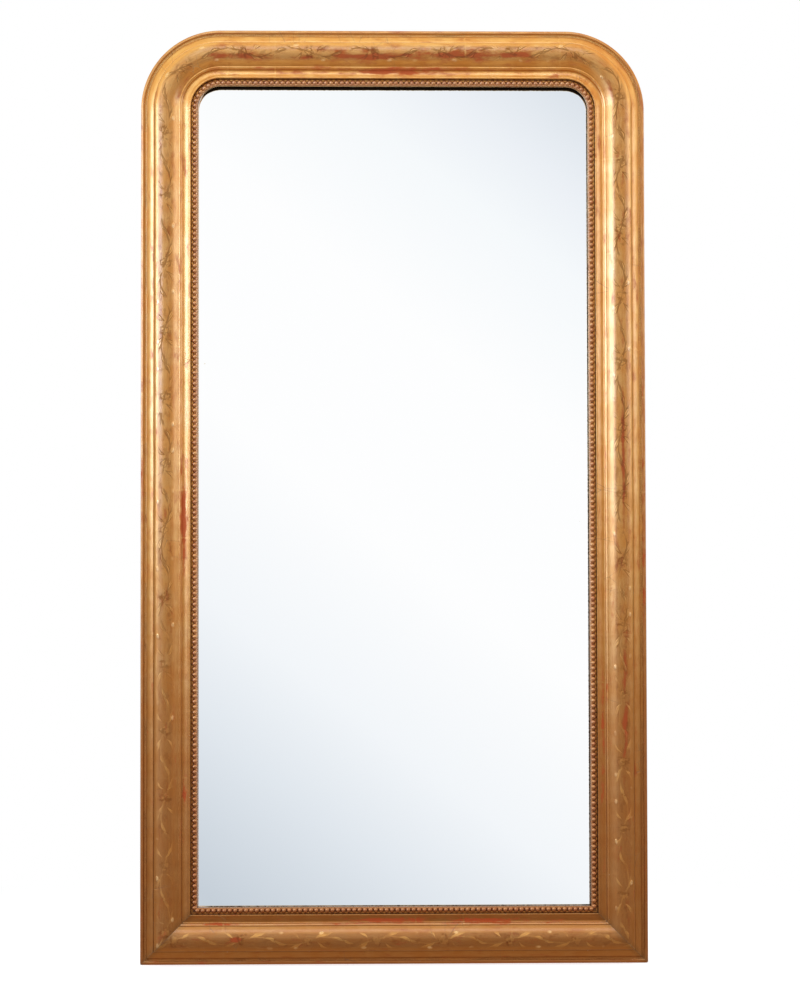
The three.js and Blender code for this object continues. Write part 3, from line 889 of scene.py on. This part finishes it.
# Where the gold has gone thin over the red bole, in mm: distance along the frame, inset,
# half the length, half the width, and how much is gone
THIN_PLACES = [
    (left_run(755), 73.5, 95, 4.2, 1.0),
    (left_run(1362), 73, 22, 4, 0.7),
    (left_run(800), 2, 70, 3, 0.3),
    (top_run(10), 50, 290, 11, 0.4),
    (top_run(-265), 49, 45, 5, 0.8),
    (left_run(300), 74, 90, 4, 0.4),
    (top_run(-150), 52, 24, 5, 0.8),
    (top_run(-55), 50, 60, 5, 0.95),
    (top_run(105), 47, 55, 7, 0.9),
    (top_run(210), 47, 28, 5, 0.9),
    (top_run(0), 73, 75, 5, 1.0),
    (top_run(120), 72, 90, 4, 0.6),
    (top_run(0), 75, 330, 6, 0.45),
    (right_run(700), 3, 220, 3, 0.3),
    (right_run(850), 41, 110, 3, 0.9),
    (right_run(450), 39, 120, 4, 0.6),
    (right_run(420), 76, 160, 4, 0.5),
    (bottom_run(-20), 75, 90, 5, 0.9),
    (bottom_run(150), 75, 110, 5, 0.8),
    (bottom_run(-300), 70, 30, 2, 0.9),
    (bottom_run(-266), 45, 9, 4, 0.8),
]


def thin_gold(s, u):
    amount = np.zeros_like(s)
    for place, inset, length, width, strength in THIN_PLACES:
        far = ((s - place) / length) ** 2 + ((u - inset) / width) ** 2
        amount = np.maximum(amount, strength * np.exp(-far * 0.9))
    return amount


# ---- The gilded moulding --------------------------------------------------------------

WAVE_LENGTHS = (260, 140, 83, 47)
WAVES_ABOVE, WAVES_RISE = 26.0, 3
WAVES_WITHIN = 80
INSET_WAVES, INSET_SEED = 0.45, 3
HEIGHT_WAVES, HEIGHT_SEED = 0.35, 11
CORNER_EASE = 2.6


def waves(s, seed):
    """Slow unevenness along the frame, from 0 to 1, the same wherever s is the same."""
    rng = np.random.default_rng(seed)
    total = np.zeros_like(s)
    for length in WAVE_LENGTHS:
        total += np.sin(s * 2 * math.pi / length + rng.uniform(0, 6.28)) * length
    return 0.5 + total / (2 * sum(WAVE_LENGTHS))


def new_mesh(name, points, faces, smooth_faces):
    mesh = bpy.data.meshes.new(name)
    mesh.from_pydata(points, [], faces)
    mesh.polygons.foreach_set("use_smooth", smooth_faces)
    mesh.update()
    return mesh


def paint_numbers(mesh, name, values):
    """Keeps a number or a vector with each point of the mesh, for the materials to read."""
    values = np.asarray(values, np.float32)
    if values.ndim == 1:
        mesh.attributes.new(name, "FLOAT", "POINT").data.foreach_set("value", values)
        return
    layer = mesh.attributes.new(name, "FLOAT_VECTOR", "POINT")
    layer.data.foreach_set("vector", values.ravel())


def piece(name, mesh, finish, body, slot, *nodes):
    """Adds a piece of the object that rides on a body and stands for some nodes."""
    made = bpy.data.objects.new(name, mesh)
    bpy.context.scene.collection.objects.link(made)
    mesh.materials.append(finish)
    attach(made, body)
    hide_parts(*nodes)
    return made


def tube_faces(rings, around):
    """Quads of a sweep, ring after ring."""
    i, j = np.meshgrid(np.arange(rings - 1), np.arange(around), indexing="ij")
    after = (j + 1) % around
    here, ahead = i * around, (i + 1) * around
    return np.stack([here + j, here + after, ahead + after, ahead + j], -1).reshape(-1, 4)


def world_points(x, z, h):
    x, y, z = np.broadcast_arrays(x, DEPTH / 2 - h, z)
    return np.stack([x, y, z], -1) * MM


def ease_lower_corner(x, z):
    """Rounds the frame's two lower outer corners a little."""
    near_x = HALF - CORNER_EASE - np.abs(x)
    near_z = z - CORNER_EASE
    out = np.hypot(np.minimum(near_x, 0), np.minimum(near_z, 0))
    both = (near_x < 0) & (near_z < 0) & (out > CORNER_EASE)
    scale = np.where(both, CORNER_EASE / np.maximum(out, 1e-6), 1)
    eased_x = np.sign(x) * (HALF - CORNER_EASE - np.minimum(near_x, 0) * scale)
    return np.where(both, eased_x, x), np.where(both, CORNER_EASE + near_z * scale, z)


def with_caps(values):
    """The sweep's values, with those of its first and last ring once more for the caps."""
    body = values.reshape(-1, *values.shape[2:])
    return np.concatenate([body, values[0], values[-1]])


def capped_faces(rings, around):
    """The faces of a sweep and of its two caps, and which of them are smooth."""
    sides = tube_faces(rings, around)
    first_cap = rings * around + np.arange(around)[::-1]
    last_cap = (rings + 1) * around + np.arange(around)
    faces = sides.tolist() + [first_cap.tolist(), last_cap.tolist()]
    return faces, [True] * len(sides) + [False, False]


def build_moulding(name, run, section, finish):
    u, h = section["u"][None], section["h"][None]
    t = run["stations"](u)
    s = run["travel"](t)
    free = np.clip((h - WAVES_ABOVE) / WAVES_RISE, 0, 1)
    inset = u + free * INSET_WAVES * waves(s, INSET_SEED) * (u < WAVES_WITHIN)
    height = h - free * HEIGHT_WAVES * waves(s, HEIGHT_SEED)
    x, z = ease_lower_corner(*run["place"](t, inset))
    points = with_caps(world_points(x, z, height))
    mesh = new_mesh(name + "_gilded", points.tolist(), *capped_faces(*t.shape))
    zero = np.zeros_like(t)
    columns = {
        "run": np.stack([s, section["v"] + zero, zero], -1),
        "profile": np.stack([u + zero, h + zero, zero], -1),
        "edge": section["edge"] + zero,
        "hollow": section["hollow"] + zero,
        "bole": thin_gold(s, u + zero),
    }
    for key, values in columns.items():
        paint_numbers(mesh, key, with_caps(values))
    piece(name + "_gilded", mesh, finish, "frame", "gilding", name + "_moulding")


# ---- Pearls ---------------------------------------------------------------------------

PEARL_SIDES = 18
PEARL_RINGS = 11
PEARL_OPENING = math.radians(128)
PEARL_RADII = (4.5, 4.75, 4.6)
PEARL_SPREAD = (0.08, 0.05, 0.06)
PEARL_CENTRE = PEARL_BED + 1.4
PEARL_LOWEST = PEARL_BED + 0.3
PEARL_SEED = 20
BED_SEED = 0.5

# The bed that the pearls stand on, with a lip on the glass side: (across, up)
BED_SECTION = [
    (-2.6, 0),
    (-2.6, 1),
    (-2, 1.5),
    (0.8, 1.6),
    (2, 3),
    (2.8, 3.5),
    (4.3, 3.4),
    (4.8, 2.8),
    (4.8, 0),
]


def pearl_shape(rng):
    """A pearl's points as (along, across, up) in mm, a little uneven, open underneath."""
    polar = np.linspace(0, PEARL_OPENING, PEARL_RINGS)[:, None]
    turn = np.linspace(0, 2 * math.pi, PEARL_SIDES, endpoint=False)[None]
    lumps = 1 + 0.035 * np.sin(turn * 2 + rng.uniform(0, 6))
    lumps = lumps + 0.02 * np.cos(polar * 3 + rng.uniform(0, 6))
    long, wide, tall = rng.normal(PEARL_RADII, PEARL_SPREAD)
    along = np.sin(polar) * np.cos(turn) * long * lumps
    across = np.sin(polar) * np.sin(turn) * wide * lumps
    up = np.cos(polar) * tall + 0 * turn
    return along, across, up


def run_length(run):
    """A run's length along the line of pearls, and its first and last station."""
    ends = run["stations"](np.array([[PEARL_LINE]]))
    x, z = run["place"](ends, PEARL_LINE + 0 * ends)
    length = np.hypot(np.diff(x[:, 0]), np.diff(z[:, 0])).sum()
    return float(length), float(ends[0, 0]), float(ends[-1, 0])


def pearls_and_bed(run, seed):
    """Each pearl, and then the bed, as (station, across, height, own number)."""
    rng = np.random.default_rng(seed)
    length, first, last = run_length(run)
    count = round(length / PEARL_PITCH)
    for i in range(count):
        along, across, up = pearl_shape(rng)
        t = first + (i + 0.5) / count * (last - first) + along * (last - first) / length
        h = np.clip(PEARL_CENTRE + up, PEARL_LOWEST, PEARL_TOP)
        yield t, across, h, rng.uniform(0, 1)
    across, up = np.array(BED_SECTION).T[:, None]
    t = run["stations"](PEARL_LINE + across)
    yield t, across + 0 * t, PEARL_BED + up + 0 * t, BED_SEED


def build_pearls(run, finish, seed):
    points, runs, rises, faces = [], [], [], []
    base = 0
    for t, across, h, own in pearls_and_bed(run, seed):
        x, z = run["place"](t, PEARL_LINE + across)
        points.append(world_points(x, z, h).reshape(-1, 3))
        runs.append(np.stack([run["travel"](t), across, own + 0 * t], -1).reshape(-1, 3))
        rises.append(((h - PEARL_BED) / (PEARL_TOP - PEARL_BED)).ravel())
        faces.append(tube_faces(*t.shape) + base)
        base += t.size
    name = run["pearls"] + "_beads"
    quads = np.concatenate(faces).tolist()
    mesh = new_mesh(name, np.concatenate(points).tolist(), quads, [True] * len(quads))
    paint_numbers(mesh, "run", np.concatenate(runs))
    paint_numbers(mesh, "rise", np.concatenate(rises))
    piece(name, mesh, finish, "frame", "pearl_gilding", run["pearls"])


# ---- Pieces that keep the CAD's shape, with eased edges -------------------------------

BEVEL_ANGLE = math.radians(35)
SHARP_ANGLE = math.radians(40)
FLAT_ANGLE = math.radians(1)
WELD_DISTANCE = 1e-6


def weld(mesh):
    """Joins the triangles of each flat face, so that only real edges are left."""
    work = bmesh.new()
    work.from_mesh(mesh)
    bmesh.ops.remove_doubles(work, verts=work.verts, dist=WELD_DISTANCE)
    bmesh.ops.dissolve_limit(work, angle_limit=FLAT_ANGLE, verts=work.verts, edges=work.edges)
    work.to_mesh(mesh)
    work.free()


def grain_numbers(mesh, long_axis, seed):
    """Keeps each point's place along, across and through the timber, in mm."""
    count = len(mesh.vertices)
    places = np.empty(count * 3, np.float32)
    mesh.vertices.foreach_get("co", places)
    places = places.reshape(-1, 3) / MM
    order = (0, 2, 1) if long_axis == "x" else (2, 0, 1)
    paint_numbers(mesh, "timber", places[:, order])
    paint_numbers(mesh, "seed", np.full(count, (seed * 0.618) % 1 * 10))


def dressed(node, finish, slot, ease, long_axis):
    """A copy of a node with eased edges, and its grain measured along its longest side."""
    mesh = FRAME_NODES[node].data.copy()
    mesh.name = node + "_worked"
    mesh.materials.clear()
    made = piece(node + "_worked", mesh, finish, "frame", slot, node)
    weld(mesh)
    eased = made.modifiers.new("eased", "BEVEL")
    eased.width = ease * MM
    eased.segments = 2
    eased.limit_method = "ANGLE"
    eased.angle_limit = BEVEL_ANGLE
    eased.use_clamp_overlap = True
    graph = bpy.context.evaluated_depsgraph_get()
    done = bpy.data.meshes.new_from_object(made.evaluated_get(graph))
    made.modifiers.clear()
    made.data = done
    done.polygons.foreach_set("use_smooth", [True] * len(done.polygons))
    done.set_sharp_from_angle(angle=SHARP_ANGLE)
    grain_numbers(done, long_axis, sum(map(ord, node)))


# ---- Build the object -----------------------------------------------------------------

PINE = wood(srgb(168, 126, 82), srgb(112, 74, 42), srgb(70, 52, 36), 3.4, 1.0)
OAK = wood(srgb(126, 90, 54), srgb(80, 54, 30), srgb(50, 38, 26), 1.7, 0.0)

FINISHES = {
    "gilding": material("gilding_old", gild),
    "pearl_gilding": material("pearl_gilding_old", gild_pearls),
    "mirror_glass": material("mirror_glass_old", silver_glass),
    "silvering": material("silvering_tin", tin),
    "old_pine": material("pine_old", PINE),
    "oak_key": material("oak_old", OAK),
    "old_iron": material("iron_old", iron),
}


def build_front():
    section = moulding_section()
    for i, (name, run) in enumerate(RUNS.items()):
        build_moulding(name, run, section, FINISHES["gilding"])
        build_pearls(run, FINISHES["pearl_gilding"], PEARL_SEED + i)


def wood_nodes():
    """Node, longest side, and how far its edges are eased."""
    yield from ((f"backboard_{i}", "x", 0.8) for i in range(1, 7))
    yield from ((f"{side}_back_stile", "z", 0.7) for side in ("left", "right"))
    yield from ((f"{end}_back_rail", "x", 0.7) for end in ("bottom", "top"))
    yield from ((f"top_{side}_corner_block", "x", 0.7) for side in ("left", "right"))
    for side in ("left", "right"):
        yield from ((f"{side}_glazing_block_{i}", "z", 0.8) for i in (1, 2, 3))
    for end in ("bottom", "top"):
        yield from ((f"{end}_glazing_block_{i}", "x", 0.8) for i in (1, 2))


def repaint(node, finish):
    mesh = FRAME_NODES[node].data
    mesh.materials.clear()
    mesh.materials.append(finish)


def build_back():
    for node, axis, ease in wood_nodes():
        dressed(node, FINISHES["old_pine"], "old_pine", ease, axis)
    for side in ("left", "right"):
        dressed(f"{side}_mitre_key", FINISHES["oak_key"], "oak_key", 0.3, "x")


def repaint_the_rest():
    repaint("mirror_glass", FINISHES["mirror_glass"])
    repaint("silvering", FINISHES["silvering"])
    for side in ("left", "right"):
        for i in range(1, 7):
            repaint(f"{side}_backboard_nail_{i}", FINISHES["old_iron"])
        for i in (1, 2):
            repaint(f"{side}_hanger_screw_{i}", FINISHES["old_iron"])
        repaint(f"{side}_hanger_plate", FINISHES["old_iron"])
        repaint(f"{side}_hanging_ring", FINISHES["old_iron"])


# ---- Camera and lamps -----------------------------------------------------------------

# The camera that the photograph's perspective gives: the focal length and the shift are
# shares of the picture's height, the place is in metres, and the angles are in degrees
SENSOR_HEIGHT = 24
FOCAL_LENGTH = 2.6480
VERTICAL_SHIFT = 0.0475
CAMERA_PLACE = (-0.09, -4.5, 0.55)
CAMERA_TURN = -1.2788
CAMERA_TIP = 1.9706
CAMERA_ROLL = -0.1184

LAMP_COLOUR = (0.59, 0.69, 1.0)
# Each lamp's place, what it faces, its width and height, its power and its spread in degrees
LAMPS = {
    "left_softbox": ((-3.3, -3.5, 1.75), (0, 0, 1.2), (3.2, 1.1), 56, 180),
    "right_softbox": ((3.7, -2.6, 1.75), (0, 0, 1.2), (2.8, 1.1), 13, 180),
    "top_softbox": ((0, -4.2, 4.6), (0, 0, 1.5), (3.0, 1.4), 2.4, 60),
}


def light_path(g, name):
    return Value(g, g.node("LightPath").outputs[name])


def make_camera():
    data = bpy.data.cameras.new("camera")
    data.sensor_fit = "VERTICAL"
    data.sensor_height = SENSOR_HEIGHT
    data.lens = FOCAL_LENGTH * SENSOR_HEIGHT
    data.shift_y = VERTICAL_SHIFT
    made = bpy.data.objects.new("camera", data)
    bpy.context.scene.collection.objects.link(made)
    turn = Matrix.Rotation(math.radians(CAMERA_TURN), 4, "Z")
    tip = Matrix.Rotation(math.radians(90 + CAMERA_TIP), 4, "X")
    roll = Matrix.Rotation(math.radians(CAMERA_ROLL), 4, "Z")
    made.matrix_world = Matrix.Translation(CAMERA_PLACE) @ turn @ tip @ roll
    bpy.context.scene.camera = made


def softbox(name, place, aim, size, power, spread):
    """A lamp that lights the gold and isn't seen as a shape in the mirror plate."""
    data = bpy.data.lights.new(name, "AREA")
    data.use_nodes = True
    g = Graph(data.node_tree)
    glow = g.node("Emission")
    g.feed(glow.inputs["Strength"], 1 - light_path(g, "Is Singular Ray"))
    g.output(glow, "OutputLight")
    data.shape = "RECTANGLE"
    data.size, data.size_y = size
    data.energy = power
    data.color = LAMP_COLOUR
    data.spread = math.radians(spread)
    made = bpy.data.objects.new(name, data)
    bpy.context.scene.collection.objects.link(made)
    made.location = place
    made.rotation_euler = (Vector(aim) - Vector(place)).to_track_quat("-Z", "Y").to_euler()
    made.visible_camera = False


# ---- World and floor ------------------------------------------------------------------

# The plain light from all sides that matt surfaces get
PLAIN_LIGHT = (0.8, 0.75, 0.68, 1)
WHITE = (1, 1, 1, 1)
REDDER = (0.93, 0.76, 0.68)
WHITER = (1.12, 1.16, 1.3)
FLOOR_COLOUR = (0.78, 0.79, 0.82, 1)
FLOOR_LIFT = 0.62
FLOOR_REACH = 14.0


def room(g, direction):
    """What gold sees: a pale studio, dim below, redder to the right and white far right."""
    x, _, z = g.parts(direction)
    pale = g.ramp(
        z * 0.5 + 0.5,
        (0.0, (0.2, 0.12, 0.05, 1)),
        (0.47, (0.22, 0.13, 0.06, 1)),
        (0.51, (0.34, 0.23, 0.11, 1)),
        (0.55, (0.72, 0.55, 0.31, 1)),
        (0.62, (1.0, 0.76, 0.42, 1)),
        (1.0, (1.0, 0.78, 0.44, 1)),
    )
    red = g.tinted(pale, REDDER)
    white = g.tinted(pale, WHITER)
    return g.mix(x.step(0.66, 0.86), g.mix(x.step(0.08, 0.3), pale, red), white)


def mirrored(g, direction):
    """What the glass shows: a white room, a little grey low on the left and high on the right."""
    x, _, z = g.parts(direction)
    slant = x * 1.887 + z * 2.44 + 0.328
    return g.ramp(
        slant * 0.5 + 0.5,
        (0.0, srgb(244, 246, 248)),
        (0.3, srgb(224, 229, 234)),
        (0.5, srgb(199, 208, 217)),
        (0.575, srgb(226, 232, 238)),
        (0.635, srgb(244, 247, 250)),
        (0.725, srgb(255, 255, 255)),
        (0.835, srgb(255, 255, 255)),
        (0.91, srgb(247, 250, 252)),
        (0.95, srgb(237, 241, 246)),
        (1.0, srgb(219, 226, 233)),
    )


def make_world():
    world = bpy.data.worlds.new("studio")
    bpy.context.scene.world = world
    world.use_nodes = True
    g = Graph(world.node_tree)
    direction = g.node("TexCoord").outputs["Generated"]
    sharp = light_path(g, "Is Singular Ray")
    seen = light_path(g, "Is Camera Ray")
    rough = light_path(g, "Is Glossy Ray")
    colour = g.mix(rough, PLAIN_LIGHT, room(g, direction))
    colour = g.mix(sharp, colour, mirrored(g, direction))
    back = g.node("Background")
    g.feed(back.inputs["Color"], g.mix(seen, colour, WHITE))
    g.output(back, "OutputWorld")


def paint_floor(g):
    """Pale and matt near the object, white further off, warm in gold, unseen in the mirror."""
    x, y, _ = g.parts(g.position())
    far = g.distance(x, y).step(0.5, 1.6)
    seen = light_path(g, "Is Camera Ray")
    matt = g.node("BsdfDiffuse")
    matt.inputs["Color"].default_value = FLOOR_COLOUR
    lift = g.node("Emission")
    g.feed(lift.inputs["Strength"], seen * FLOOR_LIFT)
    near = g.node("AddShader")
    g.tree.links.new(matt.outputs[0], near.inputs[0])
    g.tree.links.new(lift.outputs[0], near.inputs[1])
    white = g.node("Emission")
    lit = g.blend(far * seen, near, white)
    gleam = g.node("Emission")
    glow = g.ramp(
        y * -0.125,
        (0.0, (0.5, 0.29, 0.125, 1)),
        (0.015, (0.38, 0.22, 0.1, 1)),
        (0.035, (0.3, 0.17, 0.075, 1)),
        (0.2, (0.58, 0.34, 0.15, 1)),
        (0.4, (0.58, 0.34, 0.15, 1)),
        (0.8, (0.26, 0.15, 0.065, 1)),
    )
    g.feed(gleam.inputs["Color"], glow)
    rough = g.blend(light_path(g, "Is Glossy Ray"), lit, gleam)
    whole = g.blend(light_path(g, "Is Singular Ray"), rough, g.node("BsdfTransparent"))
    g.output(whole)


def make_floor():
    sides = ((-1, -1), (1, -1), (1, 1), (-1, 1))
    corners = [(x * FLOOR_REACH, y * FLOOR_REACH, 0) for x, y in sides]
    mesh = new_mesh("floor", corners, [(0, 1, 2, 3)], [False])
    mesh.materials.append(material("floor_pale", paint_floor))
    made = bpy.data.objects.new("floor", mesh)
    bpy.context.scene.collection.objects.link(made)


build_front()
build_back()
repaint_the_rest()
make_camera()
make_world()
make_floor()
for lamp, settings in LAMPS.items():
    softbox(lamp, *settings)
bpy.context.scene.view_settings.view_transform = "Standard"
